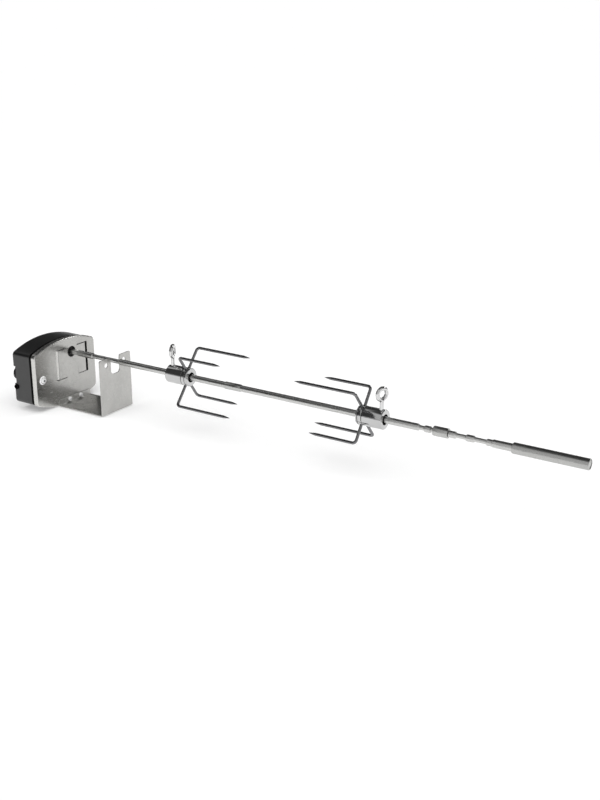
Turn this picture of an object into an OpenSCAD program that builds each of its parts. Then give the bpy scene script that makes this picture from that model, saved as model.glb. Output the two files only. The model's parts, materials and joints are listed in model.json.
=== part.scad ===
// Barbecue rotisserie kit: a gear motor on a sheet-metal bracket, a two-part spit,
// two four-tine meat forks with eye bolts, and a tube handle.
// The origin is where the spit's axis meets the front of the motor's face plate.
// +X runs along the spit to its handle, +Y across the motor and +Z is up.

/* [Motor case] */
// Width of the face plate
case_w = 136; // [130:1:150]
// How far the case's middle lies to the side of the spit's axis
case_shift = -14.5; // [-16:0.5:-12]
// Height of the case's top above the spit's axis
case_top = 25.5; // [25:0.5:30]
// Depth of the case's lowest point below the spit's axis
case_bottom = 85; // [84:0.5:90]
// Rise of the arched top and bottom edges
arch_rise = 14; // [10:1:18]
// Radius of the case's corners
corner_r = 8; // [6:0.5:10]
// Distance from the face plate to the case's outer face
case_depth = 50; // [49:0.5:56]
// Wall thickness of the plastic case
wall = 2.5; // [2:0.1:3]
// How far the plastic case stands back from the face plate's edge
case_inset = 1.2; // [0.8:0.1:2]

/* [Face plate] */
// Sheet thickness of the face plate and the gear frame
sheet = 1.2; // [1:0.1:1.5]
// Depth of the face plate's rim
rim_d = 7; // [6:0.5:9]
// Width of the rubber seal behind the rim
seal_w = 6; // [3:0.5:7]
// Radius of the hole around the drive socket
socket_hole_r = 9; // [8.7:0.1:9.5]
// Distance of each lanced tongue's root from the spit's axis
tongue_y = 13; // [12:1:14]
// Width of each lanced tongue's opening
tongue_w = 23; // [20:1:24]
// Height of each lanced tongue
tongue_h = 48; // [40:1:50]
// How far each tongue's free edge is bent back behind the plate's front
tongue_in = 3; // [1:0.5:3]

/* [Bracket] */
// Distance from the face plate to the bracket's outer face
bracket_x = 93.5; // [90:0.5:100]
// Width of the bracket
bracket_w = 72; // [70:1:80]
// Sheet thickness of the bracket
bracket_t = 1.5; // [1.2:0.1:2]
// Height of the bracket's ears above the spit's axis
ear_top = 8; // [7:0.5:10]
// Depth of the bracket's foot below the spit's axis
foot_z = 83.5; // [82:0.5:84]
// Width of the spit notch
notch_w = 20; // [16:1:22]
// Depth of the spit notch below the spit's axis
notch_d = 20; // [14:1:24]
// Spacing of the two fixing holes
ear_hole_gap = 41; // [38:1:44]
// Height of the fixing holes from the spit's axis
ear_hole_z = -2.7; // [-4:0.1:-2]
// Radius of the fixing holes
ear_hole_r = 3.75; // [3:0.05:4]

/* [Gears] */
// Module of the output gear pair
slow_module = 1; // [1:0.05:1]
// Module of the two faster gear pairs
fast_module = 0.8; // [0.8:0.05:0.8]
// Teeth on each pinion
pinion_teeth = 12; // [12:1:12]
// Teeth on the output gear
output_teeth = 36; // [36:1:36]
// Teeth on the two large idler wheels
idler_teeth = 48; // [48:1:48]

/* [Spit] */
// Radius of the spit
spit_r = 4.75; // [4.5:0.05:5]
// Side of the square drive end
drive_side = 7; // [6.5:0.1:7]
// Radius of the neck that runs through the bracket's notch
neck_r = 3.5; // [3:0.1:4]
// Radius of the narrow necks near the handle
thin_r = 3.2; // [3:0.1:3.4]
// Radius of the coupling sleeve
sleeve_r = 5.55; // [5.4:0.05:5.6]
// Radius of the turning bush
bush_r = 6.8; // [6.5:0.1:7.2]
// Radius of the handle
handle_r = 7.5; // [7:0.1:8]
// Where the handle begins
handle_x = 768; // [765:1:775]
// Length of the handle
handle_l = 102; // [90:1:110]

/* [Forks] */
// Where the outer end of the fork by the motor lies
fork_a_x = 206; // [200:1:210]
// Where the outer end of the fork by the handle lies
fork_b_x = 581; // [575:1:585]
// Radius of the fork hub
hub_r = 14; // [13.5:0.1:14.5]
// Length of the fork hub
hub_l = 40; // [38:1:42]
// Radius of the hub's bore
hub_bore_r = 6; // [5.9:0.05:6.1]
// Radius of the tine wire
tine_r = 2.2; // [2:0.1:2.4]
// Sideways and upward reach of the long tines
long_reach = [26.6, 39];
// Sideways and upward reach of the short tines
short_reach = [20.5, 35.4];
// Length of the long tines
long_l = 98; // [90:1:100]
// Length of the short tines
short_l = 76; // [70:1:80]
// Turn of the eye bolt on the fork by the motor
eye_a_turn = -69; // [-75:1:-60]
// Turn of the eye bolt on the fork by the handle
eye_b_turn = 70; // [60:1:75]

/* [Hidden] */
$fn = 64;
eps = 0.01;
big = 400;

arch_r = (pow(case_w / 2, 2) + pow(arch_rise, 2)) / (2 * arch_rise);
seal_x = -rim_d - seal_w;
seal_t = 3;
slit_w = 2.4;

// Recess in the outer face that holds the switch, and the switch itself
recess_d = 5;
recess_top = -11.5;
recess_bottom = -41;
recess_end_y = -38;
floor_x = -case_depth + recess_d;
switch_y = -68;
switch_z = -26.2;
bezel_r = 11.3;
bezel_h = 8.8;
bezel_bore_r = 9;
switch_body_r = 9.6;
rocker_r = 8;
trunnion_r = 1.5;
rocker_rest = 8;
rocker_pivot_x = -48.3;
rocker_out = 8;
rocker_in = 1.8;
rocker_dish_r = 22;

// Fixings: places are [y, z]
plate_screw_at = [-67.3, -31.2];
washer_r = 7.2;
case_screw_at = [[-70, 2], [41, 2], [-70, -64], [41, -64]];
bracket_screw_at = [[-12.2, -77.6], [12.6, -77.6]];
bracket_head_r = 3.8;
gland_r = 3.2;
gland_flange_r = 4.2;
gland_bore_r = 2.2;
gland_x = -44.5;
gland_z = -45.4;

// Gear train: each axis is [y, z], and each angle points at the next axis
slow_gap = slow_module * (output_teeth + pinion_teeth) / 2;
fast_gap = fast_module * (idler_teeth + pinion_teeth) / 2;
slow_angle = -100;
mid_angle = -20;
fast_angle = -160;
slow_axis = slow_gap * [cos(slow_angle), sin(slow_angle)];
fast_axis = slow_axis + fast_gap * [cos(mid_angle), sin(mid_angle)];
rotor_axis = fast_axis + fast_gap * [cos(fast_angle), sin(fast_angle)];
pressure_angle = 25;
backlash = 0.12;
front_x = [-6, -4.8];
rear_x = [-26.2, -25];
output_x = [-13, -7.2];
slow_wheel_x = [-18, -14.2];
fast_wheel_x = [-23, -19.6];
frame_y = [-35, 27];
frame_z = [-66, 16];
post_at = [[-25, 12.2], [22, 12.2], [-25, -61], [22, -61]];
post_r = 2.5;
pin_r = 2;
running_gap = 0.05;
socket_r = 7.6;
bush_outer_r = 8.6;
can_r = 24;
can_x = [-44, -26.2];
can_wall = 1;
can_ear_y = 29;

// Spit stations along X
neck_x = [48, 104];
sleeve_x = [311, 339];
joint_x = 325;
stub_l = 12;
far_end_x = 633.5;
drive_end_x = -12.6;
square_end_x = 16;
bush_x = [655, 677];
bead_x = [[641, 651.5], [702, 714.6], [731, 740]];
bead_r = 4.6;
thrust_end_x = 688;
shoulder_r = 5.4;
handle_grip = 40;
handle_wall = 1.4;

// Fork details, measured from the hub's outer end
eye_u = 5.7;
groove_u = [30.4, 36.8];
groove_w = 1.2;
groove_d = 1.5;
long_u = 32.7;
short_u = 34.5;
arm_root = [2.4, 9.5];
bend_r = 5;
tip_l = 12;
eye_z = 36;
eye_mid_r = 8;
eye_wire_r = 3;
eye_shank_r = 2.9;

module along_x(x0, x1) {
    translate([x0, 0, 0])
        rotate([90, 0, 90])
            linear_extrude(x1 - x0)
                children();
}

module rod_x(x0, x1, r) {
    translate([x0, 0, 0])
        rotate([0, 90, 0])
            cylinder(h = x1 - x0, r = r);
}

// A rod along X that narrows to a smaller radius at either end
module bevelled_rod(x0, x1, r, bevel) {
    translate([x0, 0, 0])
        rotate([0, 90, 0])
            rotate_extrude()
                polygon([[0, 0], [r - bevel, 0], [r, bevel], [r, x1 - x0 - bevel],
                         [r - bevel, x1 - x0], [0, x1 - x0]]);
}

module at(place) {
    translate([0, place[0], place[1]])
        children();
}

// Outline of the case: arched top and bottom, straight sides and round corners
module case_outline(inset) {
    half_w = case_w / 2 - inset;
    big_r = arch_r - inset;
    r = corner_r - inset;
    top_c = case_top - arch_r;
    bottom_c = arch_r - case_bottom;
    fillet_y = half_w - r;
    fillet_z = sqrt(pow(big_r - r, 2) - pow(fillet_y, 2));
    touch_y = fillet_y * big_r / (big_r - r);
    low = bottom_c - fillet_z;
    high = top_c + fillet_z;
    translate([case_shift, 0]) {
        intersection() {
            translate([0, top_c])
                circle(big_r, $fn = 256);
            translate([0, bottom_c])
                circle(big_r, $fn = 256);
            square([2 * touch_y, big], center = true);
        }
        translate([-half_w, low])
            square([2 * half_w, high - low]);
        for (side = [-1, 1], z = [low, high])
            translate([side * fillet_y, z])
                circle(r);
    }
}

// Involute of a base circle: how far the flank has turned at a given pressure angle
function involute(a) = tan(a) * 180 / PI - a;
function flank(rb, r) = r <= rb ? 0 : involute(acos(rb / r));
function polar(r, a) = [r * cos(a), r * sin(a)];

module gear_outline(teeth, gear_module, turn) {
    pitch_r = gear_module * teeth / 2;
    base_r = pitch_r * cos(pressure_angle);
    root_r = pitch_r - 1.2 * gear_module;
    tip_r = pitch_r + 0.92 * gear_module;
    start_r = max(base_r, root_r);
    half = 90 / teeth - backlash / pitch_r * 90 / PI + flank(base_r, pitch_r);
    steps = 4;
    radii = [for (i = [0:steps]) start_r + (tip_r - start_r) * i / steps];
    polygon([
        for (t = [0:teeth - 1])
            let (mid = turn + 360 * t / teeth)
            each concat(
                [polar(root_r, mid - half)],
                [for (i = [0:steps]) polar(radii[i], mid - half + flank(base_r, radii[i]))],
                [for (i = [steps:-1:0]) polar(radii[i], mid + half - flank(base_r, radii[i]))],
                [polar(root_r, mid + half)]
            )
    ]);
}

// A gear's tooth gap faces the gear that drives it from the direction "from"
function gap_turn(teeth, from) = from + 180 + 180 / teeth;

module motor_housing() {
    color([0.13, 0.13, 0.13])
    difference() {
        along_x(-case_depth, seal_x)
            case_outline(case_inset);
        difference() {
            along_x(-case_depth + wall, seal_x + eps)
                case_outline(case_inset + wall);
            // Wall behind the switch recess
            translate([-case_depth, -big / 2, recess_bottom - wall])
                cube([recess_d + wall, big / 2 + recess_end_y + wall,
                      recess_top - recess_bottom + 2 * wall]);
            // Posts that take the case screws, and the boss for the plate screw
            for (place = case_screw_at)
                at(place)
                    rod_x(-case_depth, seal_x, 4);
            at(plate_screw_at)
                rod_x(-27, seal_x, 4.5);
            translate([-27, -big / 2, plate_screw_at[1] - 1.5])
                cube([27 + seal_x, big / 2 + plate_screw_at[0], 3]);
        }
        // Switch recess, open at the near side
        translate([-case_depth - 1, -big / 2, recess_bottom])
            cube([recess_d + 1, big / 2 + recess_end_y, recess_top - recess_bottom]);
        at([switch_y, switch_z])
            rod_x(-case_depth, -case_depth + 12, switch_body_r + running_gap);
        for (place = case_screw_at)
            at(place) {
                rod_x(-case_depth - 1, seal_x + 1, 1.75);
                rod_x(-case_depth - 1, -case_depth + 1.6, 3.6);
            }
        at(plate_screw_at)
            rod_x(-28, seal_x + 1, 1.75);
        translate([gland_x, 0, gland_z])
            rotate([90, 0, 0])
                cylinder(h = big, r = gland_r);
    }
}

module housing_seal() {
    color([0.05, 0.05, 0.05])
    along_x(seal_x, -rim_d)
        difference() {
            case_outline(case_inset + 0.8);
            case_outline(case_inset + 0.8 + seal_t);
        }
}

// One lanced tongue: flat from its root, with its free edge bent inwards
module tongue(side) {
    y0 = tongue_y;
    y1 = tongue_y + tongue_w - slit_w;
    y2 = y1 - tongue_in;
    translate([0, 0, ear_top - tongue_h])
        linear_extrude(tongue_h)
            polygon([for (p = [[-sheet, y0 - 1], [0, y0 - 1], [0, y2],
                               [-tongue_in, y1], [-tongue_in - sheet, y1 - 0.5],
                               [-sheet, y2 - 0.5]])
                     [p[0], side * p[1]]]);
}

module face_plate() {
    slit = 1.2;
    color([0.74, 0.74, 0.72]) {
        difference() {
            along_x(-rim_d, 0)
                case_outline(0);
            along_x(-rim_d - 1, -sheet)
                case_outline(sheet);
            rod_x(-2 * sheet, sheet, socket_hole_r);
            for (side = [-1, 1])
                translate([-2 * sheet, side * (tongue_y + tongue_w / 2) - tongue_w / 2,
                           ear_top - tongue_h - slit])
                    cube([4 * sheet, tongue_w, tongue_h + 2 * slit]);
            for (place = concat([plate_screw_at], bracket_screw_at))
                at(place)
                    rod_x(-2 * sheet, sheet, 2.1);
        }
        tongue(-1);
        tongue(1);
    }
}

// Pan-head machine screw: the head's seat is at x = 0, and it points along -X
module pan_screw(shank_r, head_r, head_h, length) {
    difference() {
        union() {
            rod_x(-length, eps, shank_r);
            rotate([0, 90, 0])
                rotate_extrude()
                    polygon([[0, 0], [head_r, 0], [head_r, head_h * 0.4],
                             [head_r * 0.75, head_h * 0.85], [head_r * 0.4, head_h], [0, head_h]]);
        }
        for (a = [0, 90])
            rotate([a, 0, 0])
                translate([head_h * 0.45, -head_r * 0.55, -0.45])
                    cube([head_h, head_r * 1.1, 0.9]);
    }
}

module plate_screw() {
    color([0.88, 0.88, 0.88])
    at(plate_screw_at) {
        // Cup washer under the screw's head
        rotate([0, 90, 0])
            rotate_extrude()
                polygon([[1.7 - eps, 0], [washer_r, 0], [washer_r, 0.5], [washer_r - 2, 1.6],
                         [1.7 - eps, 1.6]]);
        translate([1.6 - eps, 0, 0])
            pan_screw(1.7, 4.4, 2.4, 24);
    }
}

module case_screws() {
    color([0.3, 0.3, 0.3])
    for (place = case_screw_at)
        at(place)
            translate([-case_depth + 1.6, 0, 0])
                mirror([1, 0, 0])
                    pan_screw(1.7, 3.3, 1.8, 30);
}

module switch_bezel() {
    color([0.06, 0.06, 0.06])
    at([switch_y, switch_z])
        difference() {
            union() {
                translate([floor_x - bezel_h, 0, 0])
                    rotate([0, 90, 0])
                        rotate_extrude()
                            polygon([[0, 0], [bezel_r - 1.5, 0], [bezel_r, 1.5],
                                     [bezel_r, bezel_h], [0, bezel_h]]);
                rod_x(floor_x - eps, floor_x + 17, switch_body_r);
            }
            rod_x(floor_x - bezel_h - 1, floor_x + 5, bezel_bore_r);
            // Holes for the rocker's trunnions
            translate([rocker_pivot_x, 0, 0])
                rotate([90, 0, 0])
                    cylinder(h = 2 * bezel_bore_r + 3, r = trunnion_r + running_gap, center = true);
        }
}

module switch_rocker() {
    color([0.09, 0.09, 0.09])
    translate([rocker_pivot_x, switch_y, switch_z])
        rotate([0, rocker_rest, 0]) {
            // A disc whose face is dished, so that either half can be pressed
            difference() {
                rod_x(-rocker_out, rocker_in, rocker_r);
                translate([-rocker_out - rocker_dish_r + 1.8, 0, 0])
                    rotate([90, 0, 0])
                        cylinder(h = 4 * rocker_r, r = rocker_dish_r, center = true, $fn = 128);
            }
            rotate([90, 0, 0])
                cylinder(h = 2 * bezel_bore_r + 2, r = trunnion_r, center = true);
        }
}

module cable_gland() {
    color([0.06, 0.06, 0.06])
    translate([gland_x, case_shift - case_w / 2 + case_inset, gland_z])
        rotate([90, 0, 0])
            difference() {
                union() {
                    translate([0, 0, -2 * wall])
                        cylinder(h = 2 * wall, r = gland_r);
                    cylinder(h = 1.8, r = gland_flange_r);
                }
                translate([0, 0, -3 * wall])
                    cylinder(h = 6 * wall, r = gland_bore_r);
            }
}

module terminal_block() {
    color([0.85, 0.84, 0.8])
    translate([-42, -62, -62])
        difference() {
            cube([14, 24, 12]);
            for (i = [0:2])
                translate([-1, 5 + 7 * i, 6])
                    rotate([0, 90, 0])
                        cylinder(h = 16, r = 1.6);
        }
}

module gear_plate(x, pin_hole, centre_hole, centre) {
    difference() {
        translate([x[0], frame_y[0], frame_z[0]])
            cube([x[1] - x[0], frame_y[1] - frame_y[0], frame_z[1] - frame_z[0]]);
        for (place = post_at)
            at(place)
                rod_x(x[0] - 1, x[1] + 1, post_r);
        for (place = [slow_axis, fast_axis])
            at(place)
                rod_x(x[0] - 1, x[1] + 1, pin_hole);
        at(centre)
            rod_x(x[0] - 1, x[1] + 1, centre_hole);
    }
}

module gear_plate_front() {
    color([0.68, 0.68, 0.7])
        gear_plate(front_x, pin_r, bush_outer_r, [0, 0]);
}

module gear_plate_rear() {
    color([0.68, 0.68, 0.7])
    difference() {
        gear_plate(rear_x, pin_r, 4.5, rotor_axis);
        for (side = [-1, 1])
            at(rotor_axis + [side * can_ear_y, 0])
                rod_x(rear_x[0] - 1, rear_x[1] + 1, 1.5);
    }
}

module frame_posts() {
    color([0.6, 0.6, 0.62])
    for (place = post_at)
        at(place)
            rod_x(rear_x[0], -sheet, post_r);
}

module idler_pins() {
    color([0.6, 0.6, 0.62])
    for (place = [slow_axis, fast_axis])
        at(place)
            rod_x(rear_x[0], front_x[1], pin_r);
}

module motor_can() {
    color([0.66, 0.66, 0.68])
    at(rotor_axis)
        difference() {
            union() {
                rod_x(can_x[0], can_x[1], can_r);
                translate([can_x[1] - sheet, -can_ear_y - 3.5, -5])
                    cube([sheet, 2 * can_ear_y + 7, 10]);
            }
            rod_x(can_x[0] + can_wall, can_x[1] - sheet, can_r - can_wall);
            rod_x(can_x[0] + can_wall, can_x[1] + 1, 2.3);
            for (side = [-1, 1])
                at([side * can_ear_y, 0])
                    rod_x(can_x[1] - 2 * sheet, can_x[1] + 1, 1.5);
        }
}

module motor_screws() {
    color([0.8, 0.8, 0.8])
    for (side = [-1, 1])
        at(rotor_axis + [side * can_ear_y, 0])
            translate([can_x[1] - sheet, 0, 0])
                mirror([1, 0, 0])
                    pan_screw(1.5, 2.8, 2, 4);
}

module motor_coil() {
    color([0.72, 0.42, 0.2])
    at(rotor_axis)
        difference() {
            rod_x(can_x[0] + can_wall, can_x[1] - sheet - 2, can_r - can_wall);
            rod_x(can_x[0], can_x[1], 12.5);
        }
}

module rotor_magnet() {
    color([0.25, 0.25, 0.27])
    at(rotor_axis)
        difference() {
            rod_x(can_x[0] + 3, can_x[1] - 4, 11.5);
            rod_x(can_x[0], can_x[1], pin_r);
        }
}

module rotor_pinion() {
    color([0.78, 0.72, 0.5])
    at(rotor_axis) {
        rod_x(can_x[0] + can_wall + 0.3, fast_wheel_x[0] + eps, pin_r);
        along_x(fast_wheel_x[0] - 0.6, fast_wheel_x[1] + 0.3)
            gear_outline(pinion_teeth, fast_module, gap_turn(pinion_teeth, fast_angle));
    }
}

// A large wheel and a pinion in one piece, running on a fixed pin
module idler_gear(wheel_x, wheel_turn, small_x, small_module, small_turn) {
    difference() {
        union() {
            along_x(wheel_x[0], wheel_x[1])
                gear_outline(idler_teeth, fast_module, wheel_turn);
            along_x(wheel_x[1] - eps, small_x[1])
                gear_outline(pinion_teeth, small_module, small_turn);
        }
        rod_x(wheel_x[0] - 1, small_x[1] + 1, pin_r + running_gap);
    }
}

module fast_idler_gear() {
    color([0.9, 0.88, 0.8])
    at(fast_axis)
        idler_gear(fast_wheel_x, fast_angle,
                   slow_wheel_x, fast_module, gap_turn(pinion_teeth, mid_angle));
}

module slow_idler_gear() {
    color([0.9, 0.88, 0.8])
    at(slow_axis)
        idler_gear(slow_wheel_x, mid_angle,
                   output_x, slow_module, gap_turn(pinion_teeth, slow_angle));
}

module output_gear() {
    color([0.78, 0.72, 0.5])
    difference() {
        along_x(output_x[0], output_x[1])
            gear_outline(output_teeth, slow_module, slow_angle);
        rod_x(output_x[0] - 1, output_x[1] + 1, socket_r);
    }
}

module drive_socket() {
    side = drive_side + 0.4;
    color([0.08, 0.08, 0.08])
    difference() {
        rod_x(output_x[0], -1.8, socket_r);
        translate([output_x[0] - 1, -side / 2, -side / 2])
            cube([20, side, side]);
    }
}

module socket_bush() {
    color([0.1, 0.1, 0.1])
    difference() {
        rod_x(output_x[1] + 0.4, -1.8, bush_outer_r);
        rod_x(output_x[1], 0, socket_r + running_gap);
    }
}

// The bracket's upright: ears on either side of a round-bottomed notch
module upright_outline() {
    corner = 3;
    notch_corner = 6;
    half = bracket_w / 2;
    difference() {
        union() {
            translate([-half, -foot_z])
                square([bracket_w, foot_z + ear_top - corner]);
            for (side = [-1, 1]) {
                ear_in = notch_w / 2;
                translate([side * (half + ear_in) / 2 - (half - ear_in - 2 * corner) / 2,
                           ear_top - corner - eps])
                    square([half - ear_in - 2 * corner, corner + eps]);
                for (y = [ear_in + corner, half - corner])
                    translate([side * y, ear_top - corner])
                        circle(corner);
            }
        }
        translate([-notch_w / 2, notch_corner - notch_d])
            square([notch_w, big]);
        translate([notch_corner - notch_w / 2, -notch_d])
            square([notch_w - 2 * notch_corner, big]);
        for (side = [-1, 1])
            translate([side * (notch_w / 2 - notch_corner), notch_corner - notch_d])
                circle(notch_corner);
        for (side = [-1, 1])
            translate([side * ear_hole_gap / 2, ear_hole_z])
                circle(ear_hole_r);
    }
}

module support_bracket() {
    bend = 2;
    tab_top = -73.5;
    low = -foot_z;
    t = bracket_t;
    // The foot has round bends up into the tab and up into the upright
    color([0.72, 0.72, 0.7]) {
        difference() {
            along_x(bracket_x - t, bracket_x)
                upright_outline();
            translate([bracket_x - 2 * t, -big / 2, low - 1])
                cube([3 * t, big, bend + 1]);
        }
        translate([0, bracket_w / 2, 0])
            rotate([90, 0, 0])
                linear_extrude(bracket_w) {
                    translate([bend, low])
                        square([bracket_x - 2 * bend, t]);
                    for (place = [[bend, 180], [bracket_x - bend, 270]])
                        translate([place[0], low + bend])
                            intersection() {
                                difference() {
                                    circle(bend);
                                    circle(bend - t);
                                }
                                rotate(place[1])
                                    square(bend);
                            }
                }
        difference() {
            translate([0, -bracket_w / 2, low + bend])
                cube([t, bracket_w, tab_top - low - bend]);
            for (place = bracket_screw_at)
                at(place)
                    rod_x(-1, 2 * t, 2.1);
        }
    }
}

module bracket_screws() {
    nut_t = 3;
    color([0.92, 0.92, 0.92])
    for (place = bracket_screw_at)
        at(place)
            translate([bracket_t, 0, 0]) {
                pan_screw(1.9, bracket_head_r, 3, 8);
                // Lock nut behind the face plate
                translate([-bracket_t - sheet - nut_t, 0, 0])
                    difference() {
                        rotate([0, 90, 0])
                            rotate(30)
                                cylinder(h = nut_t, r = 4, $fn = 6);
                        rod_x(-1, nut_t + 1, 1.9);
                    }
            }
}

module spit_drive_rod() {
    color([0.68, 0.68, 0.68]) {
        intersection() {
            translate([drive_end_x, -drive_side / 2, -drive_side / 2])
                cube([square_end_x - drive_end_x, drive_side, drive_side]);
            bevelled_rod(drive_end_x, square_end_x + 5, 4.4, 1.5);
        }
        bevelled_rod(square_end_x - eps, neck_x[0], spit_r, 0.6);
        rod_x(neck_x[0] - eps, neck_x[1] + eps, neck_r);
        bevelled_rod(neck_x[1], joint_x - stub_l, spit_r, 0.6);
        rod_x(joint_x - stub_l - eps, joint_x, thin_r);
    }
}

module spit_coupling() {
    color([0.66, 0.66, 0.66])
    difference() {
        bevelled_rod(sleeve_x[0], sleeve_x[1], sleeve_r, 0.7);
        rod_x(sleeve_x[0] - 1, joint_x - stub_l, spit_r);
        rod_x(joint_x - stub_l - 1, joint_x + stub_l + 1, thin_r);
        rod_x(joint_x + stub_l, sleeve_x[1] + 1, spit_r);
    }
}

module spit_far_rod() {
    color([0.68, 0.68, 0.68]) {
        rod_x(joint_x, joint_x + stub_l + eps, thin_r);
        bevelled_rod(joint_x + stub_l, far_end_x, spit_r, 0.6);
        rod_x(far_end_x - eps, handle_x + handle_grip, thin_r);
        for (bead = bead_x)
            bevelled_rod(bead[0], bead[1], bead_r, 1);
        bevelled_rod(bush_x[1] + 0.3, thrust_end_x, spit_r, 0.5);
        bevelled_rod(bead_x[2][1] - eps, handle_x, shoulder_r, 0.6);
    }
}

module spit_bush() {
    color([0.62, 0.62, 0.62])
    difference() {
        bevelled_rod(bush_x[0], bush_x[1], bush_r, 0.8);
        rod_x(bush_x[0] - 1, bush_x[1] + 1, thin_r + running_gap);
    }
}

module handle_tube() {
    color([0.66, 0.66, 0.66])
    difference() {
        bevelled_rod(handle_x, handle_x + handle_l, handle_r, 0.8);
        rod_x(handle_x + handle_grip + 2, handle_x + handle_l + 1, handle_r - handle_wall);
        rod_x(handle_x - 1, handle_x + handle_grip + 3, thin_r);
    }
}

module handle_cap() {
    color([0.6, 0.6, 0.6])
        rod_x(handle_x + handle_l - 6, handle_x + handle_l - 0.6, handle_r - handle_wall);
}

// Puts a fork's own frame, with u along +X, on the spit: fork b faces the other way
module fork_place(x, facing) {
    translate([x, 0, 0])
        rotate([0, 0, facing])
            children();
}

module fork_hub() {
    color([0.8, 0.8, 0.8])
    difference() {
        rotate([0, 90, 0])
            rotate_extrude()
                polygon(concat([[0, 0], [hub_r - 1, 0], [hub_r, 1]],
                               [for (u = groove_u)
                                each [[hub_r, u - groove_w / 2],
                                      [hub_r - groove_d, u - groove_w / 4],
                                      [hub_r - groove_d, u + groove_w / 4],
                                      [hub_r, u + groove_w / 2]]],
                               [[hub_r, hub_l - 1], [hub_r - 1, hub_l], [0, hub_l]]));
        rod_x(-1, hub_l + 1, hub_bore_r);
        translate([eye_u, 0, 0])
            cylinder(h = hub_r + 1, r = eye_shank_r + running_gap);
        // Sockets that the tines' arms are welded into
        for (side = [-1, 1]) {
            arm_place(long_u, side * long_reach)
                cylinder(h = hub_r, r = tine_r);
            arm_place(short_u, side * [-short_reach[0], short_reach[1]])
                cylinder(h = hub_r, r = tine_r);
        }
    }
}

// Where an arm leaves the hub for a tine at reach, and how long it is
function arm_from(reach) = [sign(reach[0]) * arm_root[0], sign(reach[1]) * arm_root[1]];
function arm_length(reach) = norm(reach - arm_from(reach));

// Moves to an arm's root, with +Z along the arm
module arm_place(u, reach) {
    root = arm_from(reach);
    way = reach - root;
    translate([u, root[0], root[1]])
        rotate([atan2(way[1], way[0]) - 90, 0, 0])
            children();
}

// One L-shaped tine: an arm out of the hub's collar, a round bend and a pointed run along u
module tine(u, reach, length) {
    out = arm_length(reach);
    arm_place(u, reach) {
        cylinder(h = out - bend_r, r = tine_r);
        translate([bend_r, 0, out - bend_r])
            rotate([90, 0, 0])
                rotate([0, 0, 90])
                    rotate_extrude(angle = 90)
                        translate([bend_r, 0])
                            circle(tine_r);
        translate([bend_r, 0, out])
            rotate([0, 90, 0])
                cylinder(h = length - bend_r - tip_l, r = tine_r);
        translate([length - tip_l, 0, out])
            rotate([0, 90, 0])
                cylinder(h = tip_l, r1 = tine_r, r2 = 0.4);
    }
}

module fork_tines(u, reach, mirror_y, length) {
    color([0.55, 0.55, 0.56])
    for (side = [-1, 1])
        tine(u, side * [mirror_y * reach[0], reach[1]], length);
}

module eye_bolt(turn) {
    tip_z = 4.95;
    color([0.8, 0.8, 0.8])
    translate([eye_u, 0, 0]) {
        translate([0, 0, tip_z])
            cylinder(h = eye_z - eye_mid_r - tip_z, r = eye_shank_r);
        translate([0, 0, eye_z])
            rotate([0, 0, turn])
                rotate([90, 0, 0])
                    rotate_extrude()
                        translate([eye_mid_r, 0])
                            circle(eye_wire_r);
    }
}

module fork_a_hub() { fork_place(fork_a_x, 0) fork_hub(); }
module fork_a_long_tines() { fork_place(fork_a_x, 0) fork_tines(long_u, long_reach, 1, long_l); }
module fork_a_short_tines() { fork_place(fork_a_x, 0) fork_tines(short_u, short_reach, -1, short_l); }
module fork_a_eye_bolt() { fork_place(fork_a_x, 0) eye_bolt(eye_a_turn); }
module fork_b_hub() { fork_place(fork_b_x, 180) fork_hub(); }
module fork_b_long_tines() { fork_place(fork_b_x, 180) fork_tines(long_u, long_reach, 1, long_l); }
module fork_b_short_tines() { fork_place(fork_b_x, 180) fork_tines(short_u, short_reach, -1, short_l); }
module fork_b_eye_bolt() { fork_place(fork_b_x, 180) eye_bolt(eye_b_turn); }

motor_housing();
housing_seal();
face_plate();
plate_screw();
case_screws();
switch_bezel();
switch_rocker();
cable_gland();
terminal_block();
gear_plate_front();
gear_plate_rear();
frame_posts();
idler_pins();
motor_can();
motor_screws();
motor_coil();
rotor_magnet();
rotor_pinion();
fast_idler_gear();
slow_idler_gear();
output_gear();
drive_socket();
socket_bush();
support_bracket();
bracket_screws();
spit_drive_rod();
spit_coupling();
spit_far_rod();
spit_bush();
handle_tube();
handle_cap();
fork_a_hub();
fork_a_long_tines();
fork_a_short_tines();
fork_a_eye_bolt();
fork_b_hub();
fork_b_long_tines();
fork_b_short_tines();
fork_b_eye_bolt();
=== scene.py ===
import json
import math
from math import cos, pi, radians, sin, sqrt

import bmesh
import bpy
from mathutils import Matrix, Vector

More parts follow.
